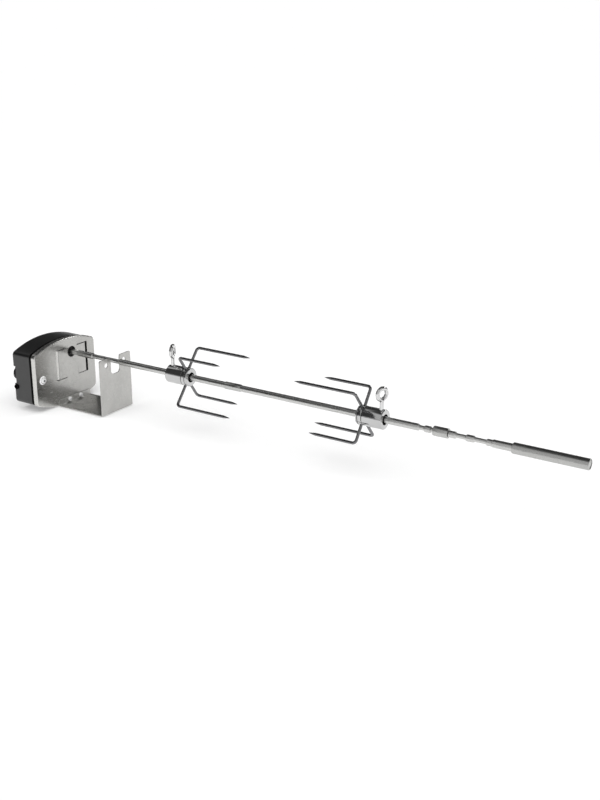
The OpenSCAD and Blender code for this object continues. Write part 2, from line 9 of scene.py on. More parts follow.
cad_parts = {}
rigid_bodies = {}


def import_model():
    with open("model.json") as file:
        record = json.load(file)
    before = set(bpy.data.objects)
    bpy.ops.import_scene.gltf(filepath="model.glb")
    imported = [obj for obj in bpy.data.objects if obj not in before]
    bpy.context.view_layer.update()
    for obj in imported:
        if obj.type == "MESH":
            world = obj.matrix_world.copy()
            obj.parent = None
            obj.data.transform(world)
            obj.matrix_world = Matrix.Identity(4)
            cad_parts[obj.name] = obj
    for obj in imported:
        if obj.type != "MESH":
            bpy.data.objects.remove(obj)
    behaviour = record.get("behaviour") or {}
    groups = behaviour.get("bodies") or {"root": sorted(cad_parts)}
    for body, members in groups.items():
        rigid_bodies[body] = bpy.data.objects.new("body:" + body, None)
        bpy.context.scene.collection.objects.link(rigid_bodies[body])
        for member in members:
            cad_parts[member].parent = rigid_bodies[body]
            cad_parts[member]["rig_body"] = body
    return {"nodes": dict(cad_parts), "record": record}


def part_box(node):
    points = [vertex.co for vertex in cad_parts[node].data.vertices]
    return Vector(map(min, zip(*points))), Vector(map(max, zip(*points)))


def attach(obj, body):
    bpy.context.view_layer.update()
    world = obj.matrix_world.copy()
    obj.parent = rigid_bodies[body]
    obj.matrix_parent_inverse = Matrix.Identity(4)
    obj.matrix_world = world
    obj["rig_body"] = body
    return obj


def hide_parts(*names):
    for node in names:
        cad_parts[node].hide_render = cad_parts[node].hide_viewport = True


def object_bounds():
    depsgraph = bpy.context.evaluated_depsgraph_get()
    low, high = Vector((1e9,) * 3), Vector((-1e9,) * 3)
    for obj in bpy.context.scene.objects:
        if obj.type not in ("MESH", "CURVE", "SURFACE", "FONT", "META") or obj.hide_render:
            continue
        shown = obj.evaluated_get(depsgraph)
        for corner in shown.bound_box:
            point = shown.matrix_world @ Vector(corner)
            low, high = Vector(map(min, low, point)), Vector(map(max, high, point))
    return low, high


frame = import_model()
cad_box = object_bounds()
nodes = frame["nodes"]
record = frame["record"]
MM = 0.001

# ---------------------------------------------------------------- materials


def mix_rgb(nt, fac, a, b):
    """A blend from a to b. Each of the three may be a socket or a plain value."""
    n = nt.nodes.new("ShaderNodeMix")
    n.data_type = "RGBA"
    for sock, v in ((n.inputs[0], fac), (n.inputs[6], a), (n.inputs[7], b)):
        if isinstance(v, bpy.types.NodeSocket):
            nt.links.new(v, sock)
        elif isinstance(v, (int, float)):
            sock.default_value = v
        else:
            sock.default_value = (*v, 1.0)
    return n.outputs[2]


def total(nt, a, b, clamp=False):
    """The sum of two sockets."""
    n = nt.nodes.new("ShaderNodeMath")
    n.operation = "ADD"
    n.use_clamp = clamp
    nt.links.new(a, n.inputs[0])
    nt.links.new(b, n.inputs[1])
    return n.outputs[0]


def spread(nt, value, lo, hi, out_lo, out_hi):
    """Maps the range lo to hi of a socket onto out_lo to out_hi."""
    n = nt.nodes.new("ShaderNodeMapRange")
    nt.links.new(value, n.inputs[0])
    for i, v in enumerate((lo, hi, out_lo, out_hi), 1):
        n.inputs[i].default_value = v
    return n.outputs[0]


def noise(nt, scale, detail=3.0, rough=0.5, turn=(0, 0, 0)):
    """Noise in the object's own space. scale is in features per millimetre along each axis."""
    tc = nt.nodes.new("ShaderNodeTexCoord")
    mp = nt.nodes.new("ShaderNodeMapping")
    mp.inputs["Rotation"].default_value = turn
    mp.inputs["Scale"].default_value = [s / MM for s in scale]
    n = nt.nodes.new("ShaderNodeTexNoise")
    n.inputs["Scale"].default_value = 1.0
    n.inputs["Detail"].default_value = detail
    n.inputs["Roughness"].default_value = rough
    nt.links.new(tc.outputs["Object"], mp.inputs["Vector"])
    nt.links.new(mp.outputs["Vector"], n.inputs["Vector"])
    return n.outputs["Fac"]


def bump(nt, height, distance, strength=1.0, under=None):
    n = nt.nodes.new("ShaderNodeBump")
    n.inputs["Strength"].default_value = strength
    n.inputs["Distance"].default_value = distance
    nt.links.new(height, n.inputs["Height"])
    if under is not None:
        nt.links.new(under, n.inputs["Normal"])
    return n.outputs["Normal"]


def surface(m, metallic, colour, rough, normal, specular=0.5):
    nt = m.node_tree
    b = nt.nodes["Principled BSDF"]
    b.inputs["Metallic"].default_value = metallic
    b.inputs["Specular IOR Level"].default_value = specular
    nt.links.new(colour, b.inputs["Base Color"])
    nt.links.new(rough, b.inputs["Roughness"])
    nt.links.new(normal, b.inputs["Normal"])
    return m


def blank(name):
    """A new material. The loaded model has materials with the slots' own names, so these are named apart."""
    m = bpy.data.materials.new(name + "_look")
    m.use_nodes = True
    return m


def metal(name, base, rough, grain, depth=0.004, vary=0.10, smudge=0.08, scratch=0.10,
          metallic=1.0, sag=0.05):
    """Metal. grain is its features per millimetre along X, Y and Z, and depth their height in millimetres.
    vary is how far their tone differs. smudge and scratch are what finger marks and fine scratches add to
    the roughness. sag is the height of the broad waves of the surface in millimetres."""
    m = blank(name)
    nt = m.node_tree
    lines = noise(nt, grain, 4.0, 0.65)
    broad = noise(nt, (0.035, 0.045, 0.04), 3.0, 0.6)
    finger_marks = noise(nt, (0.13, 0.17, 0.15), 5.0, 0.62)
    scratches = noise(nt, (1.1, 0.09, 1.3), 2.0, 0.4, (0.4, 0.9, 0.6))
    dark = [c * (1 - vary) for c in base]
    light = [min(1, c * (1 + vary * 0.6)) for c in base]
    shade = [c * 0.86 for c in base]
    tone = mix_rgb(nt, spread(nt, lines, 0.3, 0.7, 0, 1), dark, light)
    tone = mix_rgb(nt, spread(nt, broad, 0.42, 0.72, 0, 0.55), tone, shade)
    touched = spread(nt, finger_marks, 0.42, 0.68, rough, rough + smudge)
    roughness = total(nt, touched, spread(nt, scratches, 0.64, 0.70, 0, scratch))
    roughness = total(nt, roughness, spread(nt, lines, 0.3, 0.7, -0.03, 0.03), clamp=True)
    relief = bump(nt, lines, depth * MM, 0.6)
    relief = bump(nt, broad, sag * MM, 0.25, relief)
    return surface(m, metallic, tone, roughness, relief)


def plastic(name, base, rough, grain=3.2, depth=0.03, dust=0.05, specular=0.5):
    """Moulded plastic. grain is the skin's features per millimetre, depth their height in millimetres and
    dust how much of the pale dust shows."""
    m = blank(name)
    nt = m.node_tree
    skin = noise(nt, (grain,) * 3, 2.0, 0.5)
    broad = noise(nt, (0.05, 0.05, 0.05), 4.0, 0.6)
    wear = noise(nt, (0.45, 0.5, 0.48), 5.0, 0.7)
    faded = [c * 1.35 + 0.002 for c in base]
    dust_tone = (0.35, 0.34, 0.32)
    tone = mix_rgb(nt, spread(nt, broad, 0.35, 0.7, 0, 1), base, faded)
    tone = mix_rgb(nt, spread(nt, wear, 0.60, 0.78, 0, dust), tone, dust_tone)
    worn = spread(nt, wear, 0.35, 0.7, rough - 0.05, rough + 0.06)
    roughness = total(nt, worn, spread(nt, skin, 0.3, 0.7, -0.03, 0.03), clamp=True)
    return surface(m, 0.0, tone, roughness, bump(nt, skin, depth * MM, 0.5), specular)


def build_materials():
    """One material for each slot of the record, and two more: a near-black bore steel, also used as painted
    shade in recesses, grooves and gaps, and a paler edge steel that paints a highlight on the plate's bend
    and rim.
    """
    along_x = (0.02, 9.0, 9.0)
    along_z = (7.0, 7.0, 0.05)
    evenly = (5.0, 5.0, 5.0)
    turned_hub = (6.0, 0.5, 0.5)
    turned_bush = (9.0, 0.6, 0.6)
    windings = (6.0, 0.3, 0.3)
    made = [
        plastic("black_case", (0.003, 0.003, 0.0031), 0.34, 3.2, 0.008, 0.006, 0.8),
        plastic("black_rubber", (0.002, 0.002, 0.002), 0.9, 4.0, 0.03, 0.004, 0.08),
        plastic("black_gloss", (0.0025, 0.0025, 0.0027), 0.35, 5.0, 0.008, 0.004, 0.2),
        plastic("white_plastic", (0.62, 0.6, 0.54), 0.45),
        plastic("gear_plastic", (0.66, 0.64, 0.56), 0.42, 4.0, 0.01),
        plastic("magnet", (0.02, 0.02, 0.022), 0.6),
        metal("satin_steel", (0.48, 0.476, 0.461), 0.20, along_z),
        # Paler steel that paints a highlight on the plate's bend and rim.
        metal("edge_highlight_steel", (0.66, 0.655, 0.635), 0.24, evenly, 0.002),
        metal("bracket_steel", (0.52, 0.516, 0.50), 0.28, along_z, 0.003),
        metal("bright_steel", (0.95, 0.95, 0.95), 0.24, evenly, 0.002, 0.02, 0.05, 0.03, metallic=0.2),
        metal("dark_steel", (0.06, 0.06, 0.062), 0.4, evenly, 0.002),
        # Near-black steel for the hub's bore, also used as painted shade in recesses, grooves and gaps.
        metal("bore_and_shade_steel", (0.02, 0.02, 0.02), 0.75, evenly, 0.003, scratch=0.05),
        metal("frame_steel", (0.55, 0.56, 0.58), 0.32, along_z),
        metal("copper_coil", (0.55, 0.2, 0.08), 0.35, windings, 0.05),
        metal("gear_brass", (0.66, 0.47, 0.17), 0.28, evenly, 0.003),
        metal("spit_steel", (0.60, 0.60, 0.59), 0.27, along_x, 0.0012, smudge=0.04, scratch=0.05, sag=0.01),
        metal("bush_steel", (0.52, 0.52, 0.51), 0.27, turned_bush, 0.0015, smudge=0.04, sag=0.01),
        metal("handle_steel", (0.49, 0.49, 0.48), 0.27, along_x, 0.0012, smudge=0.03, sag=0.01),
        metal("hub_chrome", (0.57, 0.57, 0.57), 0.07, turned_hub, 0.0012, 0.04, 0.06, 0.06),
        metal("tine_chrome", (0.22, 0.22, 0.225), 0.10, along_x, 0.002, 0.08),
        metal("bolt_chrome", (0.74, 0.74, 0.74), 0.12, evenly, 0.004, 0.06),
    ]
    return {m.name.removesuffix("_look"): m for m in made}


materials = build_materials()
node_slot = {s["node"]: s["material_slot"] for s in record["subparts"]}
for node_name, obj in nodes.items():
    obj.data.materials.clear()
    obj.data.materials.append(materials[node_slot[node_name]])

# ---------------------------------------------------------------- mesh tools


def put(bm, name, replaced, sharp=32, weighted=True):
    """Turns bm into a piece that stands for the CAD nodes in replaced."""
    bmesh.ops.remove_doubles(bm, verts=bm.verts, dist=1e-6)
    bmesh.ops.recalc_face_normals(bm, faces=bm.faces)
    me = bpy.data.meshes.new(name)
    bm.to_mesh(me)
    bm.free()
    ob = bpy.data.objects.new(name, me)
    bpy.context.scene.collection.objects.link(ob)
    me.shade_smooth()
    me.set_sharp_from_angle(angle=radians(sharp))
    slot = node_slot[replaced[0]]
    me.materials.append(materials[slot])
    if weighted:
        w = ob.modifiers.new("normals", "WEIGHTED_NORMAL")
        w.keep_sharp = True
        w.weight = 80
    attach(ob, nodes[replaced[0]]["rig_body"])
    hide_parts(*replaced)
    return ob


def lathe(bm, profile, n=64, place=lambda v: v):
    """Solid turned about the X axis. profile is (x, r) points from one end to the other, or a closed loop."""
    closed = profile[0] == profile[-1]
    angles = [2 * pi * i / n for i in range(n)]
    rows = []
    for x, r in profile[:-1] if closed else profile:
        if r < 1e-7:
            rows.append([bm.verts.new(place(Vector((x, 0, 0))))])
        else:
            rows.append([bm.verts.new(place(Vector((x, r * cos(a), r * sin(a))))) for a in angles])
    pairs = list(zip(rows, rows[1:]))
    if closed:
        pairs.append((rows[-1], rows[0]))
    for a, b in pairs:
        for i in range(n):
            j = (i + 1) % n
            if len(a) == 1 and len(b) == 1:
                break
            if len(a) == 1:
                bm.faces.new((a[0], b[i], b[j]))
            elif len(b) == 1:
                bm.faces.new((a[i], a[j], b[0]))
            else:
                bm.faces.new((a[i], a[j], b[j], b[i]))


def rounded(points, radii, steps=4):
    """The open polyline points with each inner corner rounded to the radius given for it."""
    out = [points[0]]
    for k in range(1, len(points) - 1):
        p0, p1, p2 = (Vector(points[k + d]) for d in (-1, 0, 1))
        r = radii[k - 1] if isinstance(radii, (list, tuple)) else radii
        a, b = (p0 - p1), (p2 - p1)
        la, lb = a.length, b.length
        if r <= 0 or la < 1e-9 or lb < 1e-9:
            out.append(points[k])
            continue
        a, b = a / la, b / lb
        half = math.acos(max(-1, min(1, a.dot(b)))) / 2
        if half > pi / 2 - 0.02:
            out.append(points[k])
            continue
        t = min(r / math.tan(half), la * 0.49, lb * 0.49)
        r = t * math.tan(half)
        c = p1 + (a + b).normalized() * (r / sin(half))
        s, e = p1 + a * t - c, p1 + b * t - c
        turn = s.angle(e)
        axis_sign = 1 if s.x * e.y - s.y * e.x > 0 else -1
        for i in range(steps + 1):
            w = axis_sign * turn * i / steps
            out.append((c.x + s.x * cos(w) - s.y * sin(w), c.y + s.x * sin(w) + s.y * cos(w)))
    out.append(points[-1])
    return out


def offset_loop(loop, d):
    """Moves each point of a closed loop to the left of its direction by d."""
    n = len(loop)
    out = []
    for i in range(n):
        a, b, c = loop[i - 1], loop[i], loop[(i + 1) % n]
        e1 = Vector((b[0] - a[0], b[1] - a[1])).normalized()
        e2 = Vector((c[0] - b[0], c[1] - b[1])).normalized()
        n1, n2 = Vector((-e1.y, e1.x)), Vector((-e2.y, e2.x))
        m = (n1 + n2) / (1 + max(-0.6, n1.dot(n2)))
        out.append((b[0] + m.x * d, b[1] + m.y * d))
    return out


def circle(cx, cy, r, n=32):
    """A round hole's edge, clockwise."""
    return [(cx + r * cos(-2 * pi * i / n), cy + r * sin(-2 * pi * i / n)) for i in range(n)]


def bridge(bm, a, b):
    """Faces between two closed rings with as many points."""
    n = len(a)
    for i in range(n):
        j = (i + 1) % n
        bm.faces.new((a[i], a[j], b[j], b[i]))


def cap(bm, rings):
    """A flat face inside the first ring and outside the others."""
    edges = []
    for ring in rings:
        edges += [bm.edges.get((v, ring[(i + 1) % len(ring)])) for i, v in enumerate(ring)]
    bmesh.ops.triangle_fill(bm, use_beauty=True, use_dissolve=False, edges=edges)


def quarter_turn(steps):
    return [pi / 2 * i / steps for i in range(steps + 1)]


def slab(bm, loops, w0, w1, bevel, place=lambda u, v, w: Vector((u, v, w)), steps=3):
    """A flat plate with round edges. loops: the outline anticlockwise, then its holes clockwise."""
    profile = [(bevel * (1 - sin(a)), w0 + bevel * (1 - cos(a))) for a in quarter_turn(steps)]
    profile += [(d, w0 + w1 - w) for d, w in reversed(profile)]
    ends = ([], [])
    for loop in loops:
        rings = [[bm.verts.new(place(u, v, w)) for u, v in offset_loop(loop, d)] for d, w in profile]
        for a, b in zip(rings, rings[1:]):
            bridge(bm, a, b)
        ends[0].append(rings[0])
        ends[1].append(rings[-1])
    for rings in ends:
        cap(bm, rings)


def rounded_loop(points, radius, steps=5):
    """A closed polygon with every corner rounded. radius may be one number or one per corner."""
    n = len(points)
    out = []
    for i in range(n):
        r = radius[i] if isinstance(radius, (list, tuple)) else radius
        if r <= 0:
            out.append(points[i])
            continue
        out += rounded([points[i - 1], points[i], points[(i + 1) % n]], [r], steps)[1:-1]
    return out


def slot_edge(u0, v0, u1, v1, r):
    """A rectangular hole's edge, clockwise, with round corners."""
    return rounded_loop([(u0, v1), (u1, v1), (u1, v0), (u0, v0)], r, 4)


def boolean(ob, bm, mode="DIFFERENCE"):
    """Cuts or joins the closed mesh bm with ob, and keeps the result as ob's own mesh."""
    bmesh.ops.recalc_face_normals(bm, faces=bm.faces)
    me = bpy.data.meshes.new("tool")
    bm.to_mesh(me)
    bm.free()
    tool = bpy.data.objects.new("tool", me)
    bpy.context.scene.collection.objects.link(tool)
    mod = ob.modifiers.new("cut", "BOOLEAN")
    mod.operation = mode
    mod.solver = "EXACT"
    mod.object = tool
    bake(ob)
    bpy.data.objects.remove(tool)


def bake(ob):
    """Applies the piece's modifiers."""
    dg = bpy.context.evaluated_depsgraph_get()
    dg.update()
    me = bpy.data.meshes.new_from_object(ob.evaluated_get(dg))
    ob.modifiers.clear()
    old = ob.data
    ob.data = me
    bpy.data.meshes.remove(old)


def bore_out(ob, profile, n, place):
    """Cuts the solid turned from profile out of ob."""
    bm = bmesh.new()
    lathe(bm, profile, n, place)
    boolean(ob, bm)


# ---------------------------------------------------------------- motor case

lo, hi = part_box("face_plate")
RIM_X = lo.x
HALF_W = (hi.y - lo.y) / 2
SHIFT = (hi.y + lo.y) / 2
TOP, BOTTOM = hi.z, lo.z
ARCH_RISE = 14 * MM
CORNER_R = 8 * MM
SHEET = 1.2 * MM
ARCH_R = (HALF_W**2 + ARCH_RISE**2) / (2 * ARCH_RISE)
case_lo, case_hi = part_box("motor_housing")
CASE_INSET = case_lo.y - lo.y


def case_outline(inset, arch=56, corner=10, side=14):
    """(y, z) points of the case's outline, anticlockwise seen from +X."""
    r = CORNER_R - inset
    big_r = ARCH_R - inset
    cy = HALF_W - CORNER_R
    cz = sqrt((ARCH_R - CORNER_R) ** 2 - cy**2)
    up, down = TOP - ARCH_R, BOTTOM + ARCH_R
    lean = math.atan2(cz, cy)
    pts = []

    def arc(y, z, radius, a0, a1, n, last=False):
        for i in range(n + (1 if last else 0)):
            a = a0 + (a1 - a0) * i / n
            pts.append((SHIFT + y + radius * cos(a), z + radius * sin(a)))

    def straight(z0, z1, sign):
        for i in range(1, side):
            t = i / side
            pts.append((SHIFT + sign * (HALF_W - inset), z0 + (z1 - z0) * t))

    arc(cy, up + cz, r, 0, lean, corner)
    arc(0, up, big_r, lean, pi - lean, arch)
    arc(-cy, up + cz, r, pi - lean, pi, corner, True)
    straight(up + cz, down - cz, -1)
    arc(-cy, down - cz, r, pi, pi + lean, corner)
    arc(0, down, big_r, pi + lean, 2 * pi - lean, arch)
    arc(cy, down - cz, r, 2 * pi - lean, 2 * pi, corner, True)
    straight(down - cz, up + cz, 1)
    return pts


def outline_ring(bm, inset, x):
    return [bm.verts.new((x, y, z)) for y, z in case_outline(inset)]


def pan_profile(flat, back, thick, radius, steps=6, lip=0.25 * MM):
    """(inset, x) from the front face round the bend, along the rim and back along the inside."""
    out = [(radius * (1 - sin(a)), flat - radius * (1 - cos(a))) for a in quarter_turn(steps)]
    inner = radius - thick
    out += [(0, back + lip), (lip * 0.3, back + lip * 0.3), (lip, back)]
    out += [(thick - lip, back), (thick - lip * 0.3, back + lip * 0.3), (thick, back + lip)]
    out += [(radius - inner * cos(a), flat - radius + inner * sin(a)) for a in quarter_turn(steps)]
    return out


# The tongues' roots are TONGUE_Y from the plate's middle. SLIT is the gap at their ends and SIDE_SLIT the
# gap at their free edges, which are bent in by TONGUE_IN.
TONGUE_Y = 13 * MM
TONGUE_W = 23 * MM
TONGUE_TOP = 8 * MM
TONGUE_LOW = -40 * MM
TONGUE_IN = 3 * MM
SLIT = 1.2 * MM
SIDE_SLIT = 2.4 * MM
JOGGLE = 0.3 * MM
SOCKET_HOLE_R = 9 * MM
SCREW_HOLE_R = 2.1 * MM
NUT_R = 4 * MM
BRACKET_SHEET = 1.5 * MM
ps_lo, ps_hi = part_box("plate_screw")
bs_lo, bs_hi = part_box("bracket_screws")
bs_z = (bs_lo.z + bs_hi.z) / 2
plate_screw_at = ((ps_lo.y + ps_hi.y) / 2, (ps_lo.z + ps_hi.z) / 2)
bracket_screw_at = [(bs_lo.y + NUT_R, bs_z), (bs_hi.y - NUT_R, bs_z)]


def build_face_plate():
    """Pan-shaped plate with the socket's hole, the screws' holes and the two lanced tongues."""
    bm = bmesh.new()
    profile = pan_profile(0, RIM_X, SHEET, 2.2 * MM)
    rings = [outline_ring(bm, d, x) for d, x in profile]
    for a, b in zip(rings, rings[1:]):
        bridge(bm, a, b)
    holes = [circle(0, 0, SOCKET_HOLE_R, 64)]
    for side in (-1, 1):
        y0, y1 = sorted((side * TONGUE_Y, side * (TONGUE_Y + TONGUE_W)))
        holes.append(slot_edge(y0, TONGUE_LOW - SLIT, y1, TONGUE_TOP + SLIT, 0.5 * MM))
    for y, z in [plate_screw_at] + bracket_screw_at:
        holes.append(circle(y, z, SCREW_HOLE_R, 24))
    front, back = [rings[0]], [rings[-1]]
    b = 0.15 * MM
    edge = ((b, 0), (b * 0.3, -b * 0.3), (0, -b), (0, -SHEET + b), (b, -SHEET))
    for loop in holes:
        hole = [[bm.verts.new((x, u, v)) for u, v in offset_loop(loop, d)] for d, x in edge]
        for p, q in zip(hole, hole[1:]):
            bridge(bm, p, q)
        front.append(hole[0])
        back.append(hole[-1])
    cap(bm, front)
    cap(bm, back)
    for side in (-1, 1):
        free = TONGUE_Y + TONGUE_W - SIDE_SLIT
        line = [(-SHEET / 2, TONGUE_Y - 0.6 * MM), (-SHEET / 2 + JOGGLE, TONGUE_Y + 1.0 * MM),
                (-SHEET / 2 + JOGGLE, free - TONGUE_IN), (-SHEET / 2 - TONGUE_IN, free)]
        rise = rounded(line, [0.8 * MM, 1.2 * MM], 6)
        strip = thick_line(rise, SHEET)
        loop = [(x, side * y) for x, y in strip]
        if side > 0:
            loop.reverse()
        slab(bm, [loop], TONGUE_LOW, TONGUE_TOP, 0.2 * MM)
    # The plate's bend and rim get a painted highlight.
    paint_edge_highlight(put(bm, "plate_pan", ["face_plate"]))


def paint_edge_highlight(ob):
    """Paints a highlight: the plate's bend and rim get a paler steel than its brushed face."""
    ob.data.materials.append(materials["edge_highlight_steel"])
    for face in ob.data.polygons:
        bend = 0.3 < face.normal.x < 0.93
        wall = abs(face.normal.x) <= 0.3 and face.center.x < -SHEET - 0.1 * MM
        if bend or wall:
            face.material_index = 1


def thick_line(points, t):
    """The closed anticlockwise outline of an open line made t thick."""
    left, right = [], []
    for i, p in enumerate(points):
        a = Vector(points[max(0, i - 1)])
        b = Vector(points[min(len(points) - 1, i + 1)])
        d = (b - a).normalized()
        nrm = Vector((-d.y, d.x)) * t / 2
        left.append((p[0] + nrm.x, p[1] + nrm.y))
        right.append((p[0] - nrm.x, p[1] - nrm.y))
    return right + left[::-1]


build_face_plate()


CASE_WALL = 2.5 * MM


def build_case():
    """Open box with a rounded back edge. Its wall has loops along its depth, for even shading."""
    bm = bmesh.new()
    back, front = case_lo.x, case_hi.x
    r = 2.5 * MM
    lip = 0.2 * MM
    loops = 10
    profile = [(CASE_INSET + CASE_WALL, front), (CASE_INSET + lip, front), (CASE_INSET, front - lip)]
    for i in range(1, loops):
        profile.append((CASE_INSET, front + (back + r - front) * i / loops))
    profile += [(CASE_INSET + r * (1 - cos(a)), back + r - r * sin(a)) for a in quarter_turn(6)]
    rings = [outline_ring(bm, d, x) for d, x in profile]
    inner = outline_ring(bm, CASE_INSET + CASE_WALL, back + CASE_WALL)
    for a, b in zip(rings, rings[1:]):
        bridge(bm, a, b)
    bridge(bm, inner, rings[0])
    cap(bm, [rings[-1]])
    cap(bm, [inner])
    return put(bm, "case_shell", ["motor_housing"], sharp=40, weighted=False)


case_shell = build_case()

sw_lo, sw_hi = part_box("switch_bezel")
SWITCH_Y, SWITCH_Z = (sw_lo.y + sw_hi.y) / 2, (sw_lo.z + sw_hi.z) / 2
RECESS_DEPTH = 5 * MM
RECESS_TOP, RECESS_BOTTOM, RECESS_END = -11.5 * MM, -41 * MM, -38 * MM
SWITCH_HOLE_R = 9.7 * MM
GLAND_HOLE_R = 3.25 * MM
CASE_SCREW_HEAD_R = 3.3 * MM


def across_x(u, v, w):
    """Places a slab's outline in a plane across X."""
    return Vector((w, u, v))


def add_recess():
    """The pocket at the near end of the back, with a wall behind it, as one block added and one cut."""
    floor_x = case_lo.x + RECESS_DEPTH
    left, right = case_lo.y + CASE_WALL / 2, RECESS_END + CASE_WALL
    low, high = RECESS_BOTTOM - CASE_WALL, RECESS_TOP + CASE_WALL
    block = [(left, low), (right, low), (right, high), (left, high)]
    bm = bmesh.new()
    slab(bm, [block], case_lo.x + CASE_WALL / 2, floor_x + CASE_WALL, 0.0001 * MM, across_x, 1)
    boolean(case_shell, bm, "UNION")
    near = case_lo.y - 12 * MM
    pocket = [(near, RECESS_BOTTOM), (RECESS_END, RECESS_BOTTOM),
              (RECESS_END, RECESS_TOP), (near, RECESS_TOP)]
    pocket = rounded_loop(pocket, [0, 3 * MM, 3 * MM, 0], 6)
    bm = bmesh.new()
    slab(bm, [pocket], case_lo.x - 4 * MM, floor_x, 0.6 * MM, across_x)
    boolean(case_shell, bm)


def drill_case():
    """Holes for the gland, the switch and the four screws of the back."""
    gl_lo, gl_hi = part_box("cable_gland")
    gland_z, gland_x = (gl_lo.z + gl_hi.z) / 2, (gl_lo.x + gl_hi.x) / 2
    y0, y1 = gl_lo.y - 3 * MM, gl_hi.y + 2 * MM
    bore_out(case_shell, [(y0, 0), (y0, GLAND_HOLE_R), (y1, GLAND_HOLE_R), (y1, 0)], 32,
             lambda v: Vector((gland_x + v.y, v.x, gland_z + v.z)))
    x0, x1 = case_lo.x - 1 * MM, case_lo.x + 11 * MM
    bore_out(case_shell, [(x0, 0), (x0, SWITCH_HOLE_R), (x1, SWITCH_HOLE_R), (x1, 0)], 64,
             lambda v: Vector((v.x, SWITCH_Y + v.y, SWITCH_Z + v.z)))
    cs_lo, cs_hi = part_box("case_screws")
    sink, deep = case_lo.x + 1.6 * MM, case_lo.x + 6 * MM
    wide, seat, shank = 3.8 * MM, 3.6 * MM, 1.75 * MM
    stepped = [(x0, 0), (x0, wide), (sink, seat), (sink, shank), (deep, shank), (deep, 0)]
    for y in (cs_lo.y + CASE_SCREW_HEAD_R, cs_hi.y - CASE_SCREW_HEAD_R):
        for z in (cs_lo.z + CASE_SCREW_HEAD_R, cs_hi.z - CASE_SCREW_HEAD_R):
            bore_out(case_shell, stepped, 40, lambda v: Vector((v.x, y + v.y, z + v.z)))
    case_shell.data.shade_smooth()
    case_shell.data.set_sharp_from_angle(angle=radians(35))


add_recess()
drill_case()


def build_seal():
    """Strip with a bulging outer side, a hair thinner than its gap."""
    bm = bmesh.new()
    a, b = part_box("housing_seal")
    inset = a.y - lo.y
    bulge, deep, hair = 0.45 * MM, 3 * MM, 0.02 * MM
    x0, x1 = a.x + hair, b.x - hair
    steps = 8
    profile = [(inset + deep, x0)]
    profile += [(inset - bulge * sin(pi * i / steps), x0 + (x1 - x0) * i / steps) for i in range(steps + 1)]
    profile.append((inset + deep, x1))
    rings = [outline_ring(bm, d, x) for d, x in profile]
    for p, q in zip(rings, rings[1:] + rings[:1]):
        bridge(bm, p, q)
    return put(bm, "seal_strip", ["housing_seal"], weighted=False)


build_seal()


CROSS_ARM = 0.52
CROSS_HALF_WIDTH = 0.13


def head_height(rad, angle, r, h):
    """Height of a domed head with a cross recess. The angle is measured from an arm of the cross."""
    dome = h * (0.30 + 0.70 * sqrt(max(0.0, 1 - (rad / r) ** 2.2)))
    u, v = rad * cos(angle), rad * sin(angle)
    arm, width, slope = CROSS_ARM * r, CROSS_HALF_WIDTH * r, 0.06 * r
    inside = 0.0
    for p, q in ((u, v), (v, u)):
        edge = min(width - abs(q), arm - abs(p))
        inside = max(inside, min(1.0, max(0.0, edge / slope + 0.5)))
    return dome - inside * h * 0.5 * max(0.25, 1 - rad / arm * 0.5)


def screw_head(bm, x, y, z, r, h, turn, n=72, rings=22):
    """Domed head with a cross recess, on its seat at x. It faces +X. Returns the ring of its seat."""
    angles = [2 * pi * i / n for i in range(n)]
    rows = []
    for k in range(rings + 1):
        rad = r * (1 - k / rings)
        row = []
        for a in angles if k < rings else angles[:1]:
            u, v = rad * cos(a + turn), rad * sin(a + turn)
            row.append(bm.verts.new((x + head_height(rad, a, r, h), y + u, z + v)))
        rows.append(row)
    base = [bm.verts.new((x, y + r * cos(a + turn), z + r * sin(a + turn))) for a in angles]
    bridge(bm, base, rows[0])
    for a, b in zip(rows, rows[1:]):
        for i in range(n):
            j = (i + 1) % n
            if len(b) == 1:
                bm.faces.new((a[i], a[j], b[0]))
            else:
                bm.faces.new((a[i], a[j], b[j], b[i]))
    return base


def build_plate_screw():
    """Pan-head screw standing in a cup washer."""
    y, z = plate_screw_at
    outer = (ps_hi.y - ps_lo.y) / 2
    cup, head_r, shank = 5.2 * MM, 4.4 * MM, 1.7 * MM
    seat, cup_top, turn = 1.2 * MM, 1.6 * MM, 0.5
    ring = [(0, shank), (0, outer - 0.15 * MM), (0.15 * MM, outer), (0.45 * MM, outer - 0.2 * MM),
            (1.45 * MM, cup + 0.2 * MM), (cup_top, cup - 0.15 * MM), (1.35 * MM, cup - 0.5 * MM),
            (seat, 4.5 * MM), (seat, shank), (0, shank)]
    bm = bmesh.new()
    lathe(bm, ring, 72, lambda v: Vector((v.x, y + v.y, z + v.z)))
    base = screw_head(bm, seat, y, z, head_r, ps_hi.x - seat, turn)
    add_shank(bm, base, seat, y, z, shank / head_r, ps_lo.x)
    ob = put(bm, "plate_screw_head", ["plate_screw"], sharp=38, weighted=False)
    # Painted shade in the screw's cross recess and round its head.
    paint_recess_shade(ob, y, z, head_r, cup - 0.3 * MM, turn)


def paint_recess_shade(ob, y, z, head_r, gap_r, turn):
    """Paints shade: the cross recess and the gap round the head get the near-black steel."""
    above_seat = 1.1 * MM
    ob.data.materials.append(materials["bore_and_shade_steel"])
    for face in ob.data.polygons:
        dy, dz = face.center.y - y, face.center.z - z
        u, v = abs(dy * cos(turn) + dz * sin(turn)), abs(dz * cos(turn) - dy * sin(turn))
        in_cross = max(u, v) < CROSS_ARM * head_r and min(u, v) < 0.16 * head_r
        in_gap = head_r < math.hypot(dy, dz) < gap_r
        if face.center.x > above_seat and (in_cross or in_gap):
            face.material_index = 1


